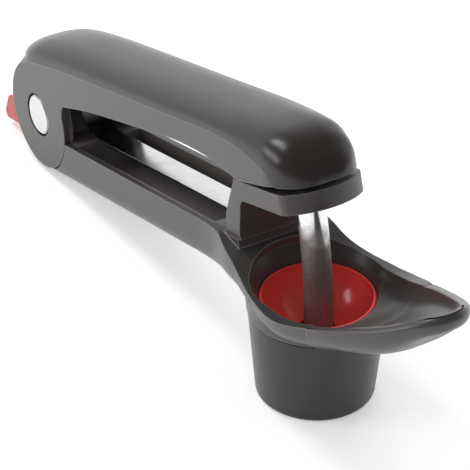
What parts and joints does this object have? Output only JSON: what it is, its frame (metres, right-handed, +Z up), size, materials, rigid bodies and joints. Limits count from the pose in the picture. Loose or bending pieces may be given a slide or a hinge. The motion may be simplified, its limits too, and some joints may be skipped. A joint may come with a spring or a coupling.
{
  "type": "olive pitter",
  "caption": "Hand-held lever pitter: hinged handles push a curved steel rod through a fruit seat in a spoon-shaped head, with a pit cup below",
  "frame": {"origin": "on the table below the axis of the cup and of the fruit seat", "axes": "+X towards the spoon tip, +Y to the left of the tool seen from behind the hinge, +Z up"},
  "size_m": [0.2176, 0.0408, 0.0749],
  "materials": {
    "handle_plastic": "warm dark grey satin moulding with a fine grain",
    "dark_plastic": "darker warm grey satin moulding",
    "cup_plastic": "dark warm grey satin moulding, slightly see-through at the rim",
    "inner_plastic": "plain black nylon",
    "washer_plastic": "natural acetal",
    "red_gloss": "glossy red moulding",
    "red_satin": "red moulding, satin",
    "rod_chrome": "polished",
    "spring_steel": "bright rolled strip",
    "pin_steel": "fine brushed",
    "screw_steel": "bright zinc"
  },
  "bodies": {
    "lower": {"lower_handle": "handle_plastic", "guide_bracket": "dark_plastic", "bracket_screws": "screw_steel", "leaf_spring": "spring_steel", "fruit_seat": "red_gloss", "seat_ring": "inner_plastic", "hinge_washers": "washer_plastic", "lock_screw": "screw_steel"},
    "upper": {"upper_handle": "handle_plastic", "top_cover": "dark_plastic", "cover_screws": "screw_steel", "plunger_rod": "rod_chrome", "rod_block": "inner_plastic", "rod_pin": "screw_steel", "block_screws": "screw_steel", "hinge_pin": "pin_steel", "pin_cap": "pin_steel"},
    "lock": {"lock_slider": "red_satin"},
    "cup": {"pit_cup": "cup_plastic"}
  },
  "joints": [
    {"name": "handle_hinge", "type": "hinge", "parent": "lower", "child": "upper", "pos_m": [-0.1305, 0, 0.0175], "axis": [0, -1, 0], "range_deg": [0, 20], "deforming": ["leaf_spring"]},
    {"name": "lock_slide", "type": "slide", "parent": "lower", "child": "lock", "axis": [-0.9726, 0, -0.2326], "range_m": [0, 0.006]},
    {"name": "cup_drop", "type": "slide", "parent": "lower", "child": "cup", "axis": [0, 0, -1], "range_m": [0, 0.03]}
  ]
}
